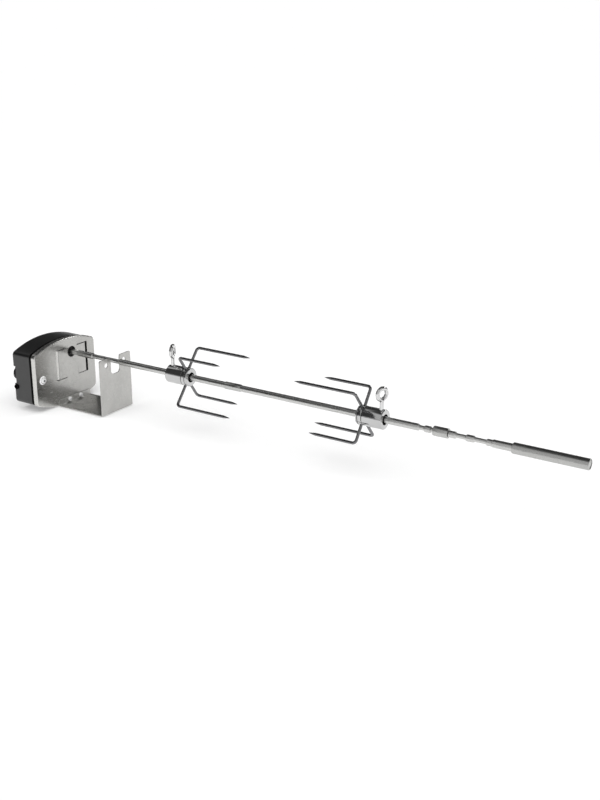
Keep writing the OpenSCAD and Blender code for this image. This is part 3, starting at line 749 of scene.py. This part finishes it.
def add_shank(bm, base, seat, y, z, shrink, end):
    """Plain shank from the seat's ring to x = end. shrink is its radius over the ring's."""
    neck = [bm.verts.new((seat, y + (v.co.y - y) * shrink, z + (v.co.z - z) * shrink)) for v in base]
    bridge(bm, neck, base)
    tip = [bm.verts.new((end, v.co.y, v.co.z)) for v in neck]
    bridge(bm, tip, neck)
    bm.faces.new(tip)


build_plate_screw()


def build_bracket_screws():
    """Two screws with their heads on the bracket's tab and hexagon nuts behind the plate."""
    bm = bmesh.new()
    seat, head_r, shank = BRACKET_SHEET, 3.8 * MM, 1.8 * MM
    nut_back, nut_front = -SHEET - 3 * MM, -SHEET - 0.02 * MM
    for k, (y, z) in enumerate(bracket_screw_at):
        base = screw_head(bm, seat, y, z, head_r, bs_hi.x - seat, 0.3 + 0.7 * k)
        add_shank(bm, base, seat, y, z, shank / head_r, bs_lo.x)
        sixths = [radians(60 * i) for i in range(6)]
        nut = rounded_loop([(y + NUT_R * cos(a), z + NUT_R * sin(a)) for a in sixths], 0.3 * MM)
        slab(bm, [nut, circle(y, z, 1.85 * MM, 32)], nut_back, nut_front, 0.25 * MM, across_x)
    put(bm, "bracket_screw_heads", ["bracket_screws"], sharp=38, weighted=False)


build_bracket_screws()

# ---------------------------------------------------------------- bracket

br_lo, br_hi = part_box("support_bracket")


BRACKET_BEND = 2 * MM
BRACKET_HOLE_R = 3.75 * MM
TAB_TOP = -73.5 * MM


def build_bracket():
    """The sheet is drawn flat, with s along its length from the tab's top, and then folded twice."""
    t, bend = BRACKET_SHEET, BRACKET_BEND
    mid = bend - t / 2
    low, x1 = br_lo.z, br_hi.x
    half = br_hi.y
    arc_l = pi / 2 * mid
    tab = TAB_TOP - (low + bend)
    s_foot = tab + arc_l
    s_bend2 = s_foot + x1 - 2 * bend
    s_up = s_bend2 + arc_l

    def up(z):
        return s_up + z - (low + bend)

    top = up(br_hi.z)
    notch, notch_low, notch_r = 10 * MM, up(-20 * MM), 6 * MM
    end_r, ear_r = 1.5 * MM, 3 * MM
    outline = [(0, -half), (top, -half), (top, -notch), (notch_low, -notch),
               (notch_low, notch), (top, notch), (top, half), (0, half)]
    loops = [rounded_loop(outline, [end_r, ear_r, ear_r, notch_r, notch_r, ear_r, ear_r, end_r], 8)]
    for y in (-20.5 * MM, 20.5 * MM):
        loops.append(circle(up(-2.7 * MM), y, BRACKET_HOLE_R, 40))
    for y, z in bracket_screw_at:
        loops.append(circle(TAB_TOP - z, y, SCREW_HOLE_R, 28))
    bm = bmesh.new()
    slab(bm, loops, 0, t, 0.22 * MM)
    cuts = 12
    for fold in (tab, s_bend2):
        for i in range(cuts + 1):
            geom = bm.verts[:] + bm.edges[:] + bm.faces[:]
            line = (fold + arc_l * i / cuts, 0, 0)
            bmesh.ops.bisect_plane(bm, geom=geom, dist=1e-7, plane_co=line, plane_no=(1, 0, 0))
    for v in bm.verts:
        s, y, d = v.co
        if s < tab:
            x, z = d, TAB_TOP - s
        elif s < s_foot:
            a = (s - tab) / mid
            x, z = bend - (bend - d) * cos(a), low + bend - (bend - d) * sin(a)
        elif s < s_bend2:
            x, z = bend + s - s_foot, low + d
        elif s < s_up:
            a = (s - s_bend2) / mid
            x, z = x1 - bend + (bend - d) * sin(a), low + bend - (bend - d) * cos(a)
        else:
            x, z = x1 - d, low + bend + s - s_up
        v.co = (x, y, z)
    put(bm, "bracket_sheet", ["support_bracket"], sharp=30)


build_bracket()

# ---------------------------------------------------------------- spit and handle


ROD_R = 4.75 * MM
STUB_R = 3.2 * MM
NEAR_SHOULDER, STUBS_MEET, FAR_SHOULDER = 312.9 * MM, 325 * MM, 337.1 * MM
FIT = 0.01 * MM


def turned(name, node, profile, n=64):
    bm = bmesh.new()
    lathe(bm, profile, n)
    put(bm, name, [node], sharp=38, weighted=False)


def soft_profile(corners, steps=5):
    """Rounds (x, radius, rounding) corners, all in metres. The first and the last stay sharp."""
    return rounded([(x, r) for x, r, _ in corners], [c[2] for c in corners[1:-1]], steps)


def build_drive_rod():
    """Near half of the spit: a square end, a rod with a thinner stretch at the bracket, and a stub."""
    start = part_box("spit_drive_rod")[0].x
    side, waist = 3.5 * MM, 3.5 * MM
    neck, shoulder = 16 * MM, 17 * MM
    corners = [
        (neck, 0, 0),
        (neck, 4.1 * MM, 0),
        (shoulder, ROD_R, 0.6 * MM),
        (47 * MM, ROD_R, 0.6 * MM),
        (48.4 * MM, waist, 1.0 * MM),
        (103.4 * MM, waist, 1.0 * MM),
        (104.8 * MM, ROD_R, 0.6 * MM),
        (NEAR_SHOULDER, ROD_R, 0),
        (NEAR_SHOULDER, STUB_R, 0),
        (STUBS_MEET, STUB_R, 0),
        (STUBS_MEET, 0, 0),
    ]
    bm = bmesh.new()
    lathe(bm, soft_profile(corners), 64)
    square = [(-side, -side), (side, -side), (side, side), (-side, side)]
    slab(bm, [rounded_loop(square, 0.9 * MM, 6)], start, neck + 0.5 * MM, 0.8 * MM, across_x)
    put(bm, "spit_near_rod", ["spit_drive_rod"], sharp=38, weighted=False)


def bead(x0, x1, r, rise, rounding):
    """A bead on the thin neck, from x0 to x1, in millimetres. rise is the length of its near slope."""
    fall = 1.1
    corners = ((x0, 3.2), (x0 + rise, r), (x1 - fall, r), (x1, 3.2))
    return [(x * MM, radius * MM, k * MM) for (x, radius), k in zip(corners, rounding)]


def build_far_rod():
    """Far half of the spit: a stub, the rod, a thin neck with beads, a collar and a stub in the handle."""
    corners = [
        (STUBS_MEET, 0, 0),
        (STUBS_MEET, STUB_R, 0),
        (FAR_SHOULDER, STUB_R, 0),
        (FAR_SHOULDER, ROD_R, 0),
        (632.5 * MM, ROD_R, 0.5 * MM),
        (633.8 * MM, STUB_R, 0.5 * MM),
        (640.4 * MM, STUB_R, 0.8 * MM),
    ]
    corners += bead(641, 651.5, 4.6, 1.1, (1.0, 1.0, 0.8, 0))
    corners += bead(677.3, 688, 4.75, 0, (0.5, 1.0, 0.8, 0.8))
    corners += bead(702, 714.6, 4.6, 1.1, (1.0, 1.0, 0.8, 0.8))
    corners += [
        (731 * MM, STUB_R, 1.0 * MM),
        (732.1 * MM, 4.6 * MM, 0.3 * MM),
        (739.4 * MM, 4.6 * MM, 0.5 * MM),
        (740.4 * MM, 5.4 * MM, 0.1 * MM),
        (767.9 * MM, 5.4 * MM, 0),
        (767.9 * MM, STUB_R, 0),
        (808 * MM, STUB_R, 0),
        (808 * MM, 0, 0),
    ]
    turned("spit_far_half", "spit_far_rod", soft_profile(corners))


def build_sleeve():
    """Sleeve with a step inside at each shoulder of the two halves."""
    a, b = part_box("spit_coupling")
    r = b.z
    wide, thin = ROD_R + FIT, STUB_R + FIT
    near, far = NEAR_SHOULDER + 0.05 * MM, FAR_SHOULDER - 0.05 * MM
    outside = [(a.x, wide), (a.x, r - 0.5 * MM), (a.x + 0.7 * MM, r),
               (b.x - 0.7 * MM, r), (b.x, r - 0.5 * MM), (b.x, wide)]
    inside = [(far, wide), (far, thin), (near, thin), (near, wide), (a.x, wide)]
    turned("spit_sleeve", "spit_coupling", outside + inside)


def build_bush():
    a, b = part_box("spit_bush")
    r, inner = b.z, 3.25 * MM
    pts = rounded([(a.x, inner), (a.x, r), (b.x, r), (b.x, inner)], 0.9 * MM, 6)
    turned("turning_bush", "spit_bush", pts + [(a.x, inner)])


def build_handle():
    """Tube with a rounded near end, solid round the rod's stub, and its bulging cap."""
    a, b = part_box("handle_tube")
    r, stub_hole = b.z, STUB_R + 0.02 * MM
    bore, solid_end = r - 1.4 * MM, 810 * MM
    pts = rounded([(a.x, stub_hole), (a.x, r), (b.x, r), (b.x, bore)], [0.9 * MM, 1.3 * MM], 7)
    pts += [(solid_end, bore), (solid_end, stub_hole), (a.x, stub_hole)]
    turned("handle_sleeve", "handle_tube", pts, 96)
    a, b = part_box("handle_cap")
    r = b.z - 0.02 * MM
    pts = [(a.x, 0), (a.x, r), (b.x - 0.2 * MM, r), (b.x, r - 0.48 * MM),
           (b.x + 0.12 * MM, b.z * 0.6), (b.x + 0.18 * MM, 0)]
    turned("handle_end", "handle_cap", pts, 96)


build_drive_rod()
build_far_rod()
build_sleeve()
build_bush()
build_handle()

# ---------------------------------------------------------------- forks

# How far a tine's run lies from the spit's axis, along Y and Z, and how long the run is.
LONG_REACH, LONG_RUN = (26.6 * MM, 39 * MM), 98 * MM
SHORT_REACH, SHORT_RUN = (20.5 * MM, 35.4 * MM), 76 * MM
# Places along the hub, from its end away from the tips.
LONG_U, SHORT_U, EYE_U = 32.7 * MM, 34.5 * MM, 5.7 * MM
HUB_GROOVES = (30.4 * MM, 36.8 * MM)
HUB_BORE = 6 * MM
HUB_MOUTH = 1.7 * MM
ARM_ROOT = Vector((0, 2.4 * MM, 9.5 * MM))
TINE_R = 2.2 * MM


def sweep(bm, path, radii, n=20):
    """A round tube along path, closed at both ends."""
    up = Vector((0.3, 1, 0.2)).normalized()
    angles = [2 * pi * k / n for k in range(n)]
    rows = []
    for i, (p, r) in enumerate(zip(path, radii)):
        d = (path[min(len(path) - 1, i + 1)] - path[max(0, i - 1)]).normalized()
        side = d.cross(up).normalized()
        up = side.cross(d).normalized()
        rows.append([bm.verts.new(p + r * (side * cos(a) + up * sin(a))) for a in angles])
    for a, b in zip(rows, rows[1:]):
        bridge(bm, a, b)
    bm.faces.new(rows[0][::-1])
    bm.faces.new(rows[-1])


def tine(bm, u, reach, length, place):
    """Arm out of the hub's collar with its weld, a round bend and a pointed run."""
    root = Vector((0, math.copysign(ARM_ROOT.y, reach[0]), math.copysign(ARM_ROOT.z, reach[1])))
    way = Vector((0, reach[0], reach[1])) - root
    out = way.length
    ray = way / out
    weld, weld_top, swell = 2.8 * MM, 5.4 * MM, 0.9 * MM
    bend, tip, point_r = 5 * MM, 12 * MM, 0.25 * MM
    path, radii = [], []

    def add(along, away, radius=TINE_R):
        path.append(place(Vector((along, 0, 0)) + root + ray * away))
        radii.append(radius)

    add(u, 0)
    for i in range(9):
        t = i / 8
        add(u, weld + (weld_top - weld) * t, TINE_R + swell * (1 - t) ** 2.4)
    for i in range(1, 6):
        add(u, weld_top + (out - bend - weld_top) * i / 6)
    for a in quarter_turn(12):
        add(u + bend * (1 - cos(a)), out - bend + bend * sin(a))
    for i in range(1, 8):
        add(u + bend + (length - bend - tip) * i / 8, out)
    for i in range(13):
        t = i / 12
        add(u + length - tip + tip * t, out, point_r + (TINE_R - point_r) * (1 - t**1.35))
    sweep(bm, path, radii)


def darken_bore_and_grooves(hub, skin):
    """The bore gets the dark, unpolished steel; its mouths and the grooves get it too, as painted shade."""
    inside = HUB_BORE + HUB_MOUTH + 0.1 * MM
    hub.data.materials.append(materials["bore_and_shade_steel"])
    for face in hub.data.polygons:
        off = max(math.hypot(v.y, v.z) for v in (hub.data.vertices[i].co for i in face.vertices))
        centre = math.hypot(face.center.y, face.center.z)
        in_groove = off < skin and abs(face.normal.x) < 0.9 and centre > 9 * MM
        if off < inside or in_groove:
            face.material_index = 1


def hub_profile(length, r):
    """Closed outline of the hub: round ends, two thin grooves and a bore with wide mouths."""
    deep, half = r - 1.5 * MM, 0.6 * MM
    pts = [(0, HUB_BORE), (0, r)]
    for u in HUB_GROOVES:
        pts += [(u - half, r), (u - half * 0.6, deep), (u + half * 0.6, deep), (u + half, r)]
    pts += [(length, r), (length, HUB_BORE)]
    skin = rounded(pts, [1.0 * MM] + [0.2 * MM] * 8 + [1.2 * MM], 5)[1:-1]
    mouth_r = HUB_BORE + HUB_MOUTH
    bore = [(length, mouth_r), (length - HUB_MOUTH, HUB_BORE), (HUB_MOUTH, HUB_BORE), (0, mouth_r)]
    return [(0, mouth_r)] + skin + bore


def build_fork(key, facing):
    """Hub and tines of one fork. facing is 1 when the tips point along +X, and -1 when they point back."""
    hub_lo, hub_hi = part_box(f"fork_{key}_hub")
    x0 = hub_lo.x if facing > 0 else hub_hi.x
    r = hub_hi.z

    def place(v):
        return Vector((x0 + facing * v.x, facing * v.y, v.z))

    bm = bmesh.new()
    lathe(bm, hub_profile(hub_hi.x - hub_lo.x, r), 96, place)
    hub = put(bm, f"fork_{key}_boss", [f"fork_{key}_hub"], sharp=35, weighted=False)
    # Painted shade in the hub's mouths and grooves.
    darken_bore_and_grooves(hub, r - 0.7 * MM)
    hole, inner, sink, above = 3.05 * MM, 8 * MM, r - 0.9 * MM, r + 1 * MM
    stepped = [(inner, 0), (inner, hole), (sink, hole), (above, hole + 1.6 * MM), (above, 0)]
    bore_out(hub, stepped, 48, lambda v: place(Vector((EYE_U + v.y, v.z, v.x))))
    hub.data.shade_smooth()
    hub.data.set_sharp_from_angle(angle=radians(30))
    bm = bmesh.new()
    for s in (-1, 1):
        tine(bm, LONG_U, (s * LONG_REACH[0], s * LONG_REACH[1]), LONG_RUN, place)
    put(bm, f"fork_{key}_outer_tines", [f"fork_{key}_long_tines"], sharp=50, weighted=False)
    bm = bmesh.new()
    for s in (-1, 1):
        tine(bm, SHORT_U, (-s * SHORT_REACH[0], s * SHORT_REACH[1]), SHORT_RUN, place)
    put(bm, f"fork_{key}_inner_tines", [f"fork_{key}_short_tines"], sharp=50, weighted=False)


def build_eye(key, facing, turn):
    """Forged eye: a ring blended into its shank by a fine remesh. turn is the ring's angle in degrees."""
    hub_lo, hub_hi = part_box(f"fork_{key}_hub")
    x0 = hub_lo.x + EYE_U if facing > 0 else hub_hi.x - EYE_U
    a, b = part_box(f"fork_{key}_eye_bolt")
    wire, mid_r = 3 * MM, 8 * MM
    cz = b.z - wire - mid_r
    w = radians(turn) + (pi if facing < 0 else 0)
    side = Vector((cos(w), sin(w), 0))
    across = Vector((-sin(w), cos(w), 0))
    centre = Vector((x0, 0, cz))
    n, m = 72, 28
    section = [(mid_r + wire * cos(2 * pi * k / m), wire * sin(2 * pi * k / m)) for k in range(m)]
    bm = bmesh.new()
    rows = []
    for i in range(n):
        t = 2 * pi * i / n
        d = side * cos(t) + Vector((0, 0, 1)) * sin(t)
        rows.append([bm.verts.new(centre + d * out + across * off) for out, off in section])
    for i in range(n):
        bridge(bm, rows[i], rows[(i + 1) % n])
    top = cz - mid_r
    shank, tip = 2.9 * MM, 0.6 * MM
    prof = [(a.z, 0), (a.z, shank - tip), (a.z + tip, shank), (top - 6 * MM, shank),
            (top - 3.5 * MM, 3.0 * MM), (top - 1.5 * MM, 3.6 * MM), (top, 3.4 * MM),
            (top + 1.2 * MM, 2.2 * MM), (top + 1.2 * MM, 0)]
    lathe(bm, prof, 40, lambda v: Vector((x0 + v.y, v.z, v.x)))
    ob = put(bm, f"fork_{key}_eye", [f"fork_{key}_eye_bolt"], sharp=180, weighted=False)
    fuse = ob.modifiers.new("fuse", "REMESH")
    fuse.mode = "VOXEL"
    fuse.voxel_size = 0.36 * MM
    blend = ob.modifiers.new("soften", "CORRECTIVE_SMOOTH")
    blend.iterations = 8
    blend.factor = 0.6
    blend.use_only_smooth = True
    bake(ob)
    ob.data.shade_smooth()


build_fork("a", 1)
build_fork("b", -1)
build_eye("a", 1, -69)
build_eye("b", -1, 70)

# ---------------------------------------------------------------- small CAD parts kept, with soft edges


def soften(node, width, angle=40, segments=3):
    """Rounds a CAD node's sharp edges with modifiers, which leave its own mesh as it is."""
    ob = nodes[node]
    weld = ob.modifiers.new("weld", "WELD")
    weld.merge_threshold = 2e-6
    flat = ob.modifiers.new("flat", "DECIMATE")
    flat.decimate_type = "DISSOLVE"
    flat.angle_limit = radians(0.5)
    bev = ob.modifiers.new("edge", "BEVEL")
    bev.width = width
    bev.segments = segments
    bev.limit_method = "ANGLE"
    bev.angle_limit = radians(angle)
    wn = ob.modifiers.new("normals", "WEIGHTED_NORMAL")
    wn.keep_sharp = True


soften("switch_bezel", 0.5 * MM)
soften("switch_rocker", 0.5 * MM)
soften("cable_gland", 0.4 * MM)
soften("drive_socket", 0.3 * MM)

# ---------------------------------------------------------------- floor, light and camera

scene = bpy.context.scene
scene.view_settings.view_transform = "Standard"

FLOOR_GLOW = 0.26
FLAG_GLOW = 0.045
FRONT_WALL = 0.64
FRONT_FLOOR = 0.12
BACK_WALL = 0.09
CEILING = 0.03


def plain(name, tone, glow):
    """A matt grey that glows a little."""
    m = blank(name)
    b = m.node_tree.nodes["Principled BSDF"]
    b.inputs["Base Color"].default_value = (tone, tone, tone, 1)
    b.inputs["Roughness"].default_value = 1.0
    b.inputs["Specular IOR Level"].default_value = 0.0
    b.inputs["Emission Color"].default_value = (1, 1, 1, 1)
    b.inputs["Emission Strength"].default_value = glow
    return m


def sheet(name, corners, material):
    """One flat face that belongs to the studio, not to the object."""
    bm = bmesh.new()
    bm.faces.new([bm.verts.new(c) for c in corners])
    me = bpy.data.meshes.new(name)
    bm.to_mesh(me)
    bm.free()
    me.materials.append(material)
    ob = bpy.data.objects.new(name, me)
    scene.collection.objects.link(ob)
    return ob


def build_floor():
    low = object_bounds()[0].z
    far = 200.0
    corners = [(-far, -far, low), (far, -far, low), (far, far, low), (-far, far, low)]
    sheet("floor", corners, plain("floor_paper", 0.8, FLOOR_GLOW))


def build_world():
    """A white room in front of the object, with a dark ceiling and a dark far side."""
    world = bpy.data.worlds.new("studio")
    scene.world = world
    world.use_nodes = True
    nt = world.node_tree
    tc = nt.nodes.new("ShaderNodeTexCoord")
    sep = nt.nodes.new("ShaderNodeSeparateXYZ")
    nt.links.new(tc.outputs["Generated"], sep.inputs[0])

    def by_height(wanted):
        ramp = nt.nodes.new("ShaderNodeValToRGB")
        nt.links.new(sep.outputs["Z"], ramp.inputs[0])
        stops = ramp.color_ramp.elements
        while len(stops) < len(wanted):
            stops.new(0.5)
        for e, (pos, v) in zip(stops, wanted):
            e.position = pos
            e.color = (v, v, v, 1)
        return ramp.outputs[0]

    low, high = 0.11, 0.83
    front = [(0.0, FRONT_FLOOR), (low, FRONT_WALL), (high, FRONT_WALL), (0.9, 0.07), (1.0, CEILING)]
    back = [(0.0, BACK_WALL), (0.38, BACK_WALL), (0.6, 0.05), (1.0, CEILING)]
    far_side = spread(nt, sep.outputs["Y"], -0.05, 0.35, 0, 1)
    room = mix_rgb(nt, far_side, by_height(front), by_height(back))
    seen = nt.nodes.new("ShaderNodeLightPath")
    room = mix_rgb(nt, seen.outputs["Is Camera Ray"], room, (1.0, 1.0, 1.0))
    bg = nt.nodes["Background"]
    nt.links.new(room, bg.inputs["Color"])
    bg.inputs["Strength"].default_value = 1.0


def build_flag():
    """Black card before the forks, which only reflections see. Its right edge leans so that the
    handle's reflections pass it on their way up while those of the hubs meet it."""
    distance, left, right = 0.5, -3.0, 0.68
    lowest, highest = 0.08, 3.5
    lean = 0.604
    steps = 12
    corners = []
    for i in range(steps + 1):
        z = lowest + (highest - lowest) * i / steps
        corners.append((right - lean * math.hypot(distance, z), -distance, z))
    corners += [(left, -distance, highest), (left, -distance, lowest)]
    ob = sheet("flag", corners, plain("flag_black", 0.01, FLAG_GLOW))
    ob.visible_camera = False
    ob.visible_diffuse = False
    ob.visible_shadow = False


def aim(ob, azimuth, elevation):
    """Turns a lamp towards the object from this side. Returns the direction back to the lamp."""
    a, e = radians(azimuth), radians(elevation)
    back = Vector((sin(a) * cos(e), -cos(a) * cos(e), sin(e)))
    ob.rotation_mode = "QUATERNION"
    ob.rotation_quaternion = (-back).to_track_quat("-Z", "Y")
    scene.collection.objects.link(ob)
    return back


def build_sun():
    """Broad overhead light that gives the floor its soft shadows, and no glints."""
    data = bpy.data.lights.new("overhead", "SUN")
    data.angle = radians(80)
    data.energy = 2.1
    ob = bpy.data.objects.new("overhead", data)
    ob.visible_glossy = False
    aim(ob, 33, 70)


def build_softbox():
    """Light behind the object, for its far upper edges."""
    light = bpy.data.lights.new("far_edge", "AREA")
    light.shape = "RECTANGLE"
    light.size, light.size_y = 0.9, 0.5
    light.energy = 10
    ob = bpy.data.objects.new("far_edge", light)
    middle = (cad_box[0] + cad_box[1]) / 2
    ob.location = middle + aim(ob, 157, 31) * 2.6


def build_camera():
    """The photo's camera, as it was solved together with the object's sizes."""
    azimuth, elevation = radians(33.273), radians(19.381)
    right = Vector((cos(azimuth), sin(azimuth), 0))
    back = Vector((sin(azimuth) * cos(elevation), -cos(azimuth) * cos(elevation), sin(elevation)))
    up = back.cross(right)
    data = bpy.data.cameras.new("camera")
    data.sensor_width = 36.0
    data.lens = 52.136
    data.clip_start, data.clip_end = 0.05, 500
    cam = bpy.data.objects.new("camera", data)
    cam.location = 0.36995 * right - 0.07879 * up + 1.87600 * back
    cam.rotation_mode = "QUATERNION"
    cam.rotation_quaternion = Matrix((right, up, back)).transposed().to_quaternion()
    scene.collection.objects.link(cam)
    scene.camera = cam


build_floor()
build_world()
build_sun()
build_flag()
build_softbox()
build_camera()
